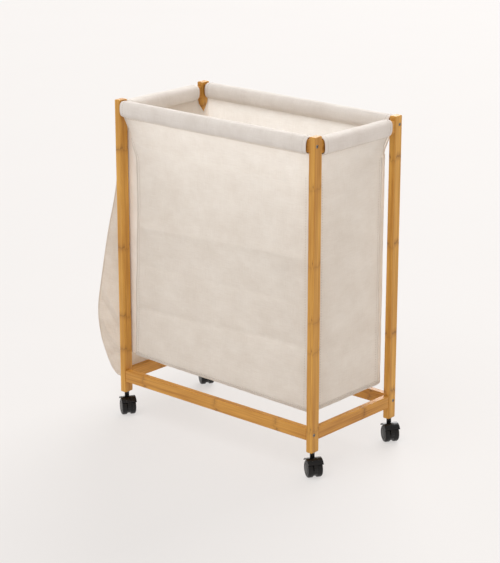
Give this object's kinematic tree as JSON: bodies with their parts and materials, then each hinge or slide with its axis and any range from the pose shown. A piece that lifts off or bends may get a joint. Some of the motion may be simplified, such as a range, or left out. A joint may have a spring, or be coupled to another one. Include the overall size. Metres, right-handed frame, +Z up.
{
  "type": "laundry sorter",
  "caption": "Rolling laundry sorter with a slim bamboo frame, an open canvas bag hung by sleeves on the top rails, a side pouch and swivel casters.",
  "frame": {"origin": "on the floor, in the middle of the whole object's footprint, pouch and casters included", "axes": "+Z up, the long front side faces -Y, the pouch is at the -X end"},
  "size_m": [0.7334, 0.3221, 0.754],
  "materials": {
    "bamboo": "clear satin lacquer over laminated bamboo",
    "canvas": "undyed plain weave",
    "caster_housing": "satin moulded black",
    "caster_wheel": "satin moulded black",
    "steel": "zinc plated"
  },
  "bodies": {
    "root": {"post_front_left": "bamboo", "post_front_right": "bamboo", "post_back_left": "bamboo", "post_back_right": "bamboo", "bottom_rail_front": "bamboo", "bottom_rail_back": "bamboo", "bottom_rail_left": "bamboo", "bottom_rail_right": "bamboo", "top_rail_front": "bamboo", "top_rail_back": "bamboo", "top_rail_left": "bamboo", "top_rail_right": "bamboo", "screw_front_left_bottom": "steel", "screw_front_left_top": "steel", "screw_front_right_bottom": "steel", "screw_front_right_top": "steel", "screw_back_left_bottom": "steel", "screw_back_left_top": "steel", "screw_back_right_bottom": "steel", "screw_back_right_top": "steel", "caster_front_left_socket": "steel", "caster_front_right_socket": "steel", "caster_back_left_socket": "steel", "caster_back_right_socket": "steel", "bag_sleeve_front": "canvas", "bag_sleeve_back": "canvas", "bag_sleeve_left": "canvas", "bag_sleeve_right": "canvas", "bag_panel_front": "canvas", "bag_panel_back": "canvas", "bag_panel_left": "canvas", "bag_panel_right": "canvas", "bag_bottom": "canvas", "pouch_outer_panel": "canvas", "pouch_bottom_panel": "canvas", "pouch_inner_panel": "canvas", "pouch_gusset_front": "canvas", "pouch_gusset_back": "canvas"},
    "caster_front_left_swivel": {"caster_front_left_stem": "steel", "caster_front_left_hood": "caster_housing", "caster_front_left_axle": "steel"},
    "caster_front_left_wheel_a": {"caster_front_left_wheel_a": "caster_wheel"},
    "caster_front_left_wheel_b": {"caster_front_left_wheel_b": "caster_wheel"},
    "caster_front_right_swivel": {"caster_front_right_stem": "steel", "caster_front_right_hood": "caster_housing", "caster_front_right_axle": "steel"},
    "caster_front_right_wheel_a": {"caster_front_right_wheel_a": "caster_wheel"},
    "caster_front_right_wheel_b": {"caster_front_right_wheel_b": "caster_wheel"},
    "caster_back_left_swivel": {"caster_back_left_stem": "steel", "caster_back_left_hood": "caster_housing", "caster_back_left_axle": "steel"},
    "caster_back_left_wheel_a": {"caster_back_left_wheel_a": "caster_wheel"},
    "caster_back_left_wheel_b": {"caster_back_left_wheel_b": "caster_wheel"},
    "caster_back_right_swivel": {"caster_back_right_stem": "steel", "caster_back_right_hood": "caster_housing", "caster_back_right_axle": "steel"},
    "caster_back_right_wheel_a": {"caster_back_right_wheel_a": "caster_wheel"},
    "caster_back_right_wheel_b": {"caster_back_right_wheel_b": "caster_wheel"}
  },
  "joints": [
    {"name": "caster_front_left_turn", "type": "hinge", "parent": "root", "child": "caster_front_left_swivel", "pos_m": [-0.235, -0.1307, 0.054], "axis": [0, 0, 1], "continuous": true},
    {"name": "caster_front_left_roll_a", "type": "hinge", "parent": "caster_front_left_swivel", "child": "caster_front_left_wheel_a", "pos_m": [-0.22661, -0.13615, 0.02], "axis": [0.5446, 0.8387, 0], "continuous": true},
    {"name": "caster_front_left_roll_b", "type": "hinge", "parent": "caster_front_left_swivel", "child": "caster_front_left_wheel_b", "pos_m": [-0.22661, -0.13615, 0.02], "axis": [0.5446, 0.8387, 0], "continuous": true},
    {"name": "caster_front_right_turn", "type": "hinge", "parent": "root", "child": "caster_front_right_swivel", "pos_m": [0.333, -0.1307, 0.054], "axis": [0, 0, 1], "continuous": true},
    {"name": "caster_front_right_roll_a", "type": "hinge", "parent": "caster_front_right_swivel", "child": "caster_front_right_wheel_a", "pos_m": [0.34139, -0.13615, 0.02], "axis": [0.5446, 0.8387, 0], "continuous": true},
    {"name": "caster_front_right_roll_b", "type": "hinge", "parent": "caster_front_right_swivel", "child": "caster_front_right_wheel_b", "pos_m": [0.34139, -0.13615, 0.02], "axis": [0.5446, 0.8387, 0], "continuous": true},
    {"name": "caster_back_left_turn", "type": "hinge", "parent": "root", "child": "caster_back_left_swivel", "pos_m": [-0.235, 0.1423, 0.054], "axis": [0, 0, 1], "continuous": true},
    {"name": "caster_back_left_roll_a", "type": "hinge", "parent": "caster_back_left_swivel", "child": "caster_back_left_wheel_a", "pos_m": [-0.22661, 0.13685, 0.02], "axis": [0.5446, 0.8387, 0], "continuous": true},
    {"name": "caster_back_left_roll_b", "type": "hinge", "parent": "caster_back_left_swivel", "child": "caster_back_left_wheel_b", "pos_m": [-0.22661, 0.13685, 0.02], "axis": [0.5446, 0.8387, 0], "continuous": true},
    {"name": "caster_back_right_turn", "type": "hinge", "parent": "root", "child": "caster_back_right_swivel", "pos_m": [0.333, 0.1423, 0.054], "axis": [0, 0, 1], "continuous": true},
    {"name": "caster_back_right_roll_a", "type": "hinge", "parent": "caster_back_right_swivel", "child": "caster_back_right_wheel_a", "pos_m": [0.34139, 0.13685, 0.02], "axis": [0.5446, 0.8387, 0], "continuous": true},
    {"name": "caster_back_right_roll_b", "type": "hinge", "parent": "caster_back_right_swivel", "child": "caster_back_right_wheel_b", "pos_m": [0.34139, 0.13685, 0.02], "axis": [0.5446, 0.8387, 0], "continuous": true}
  ]
}
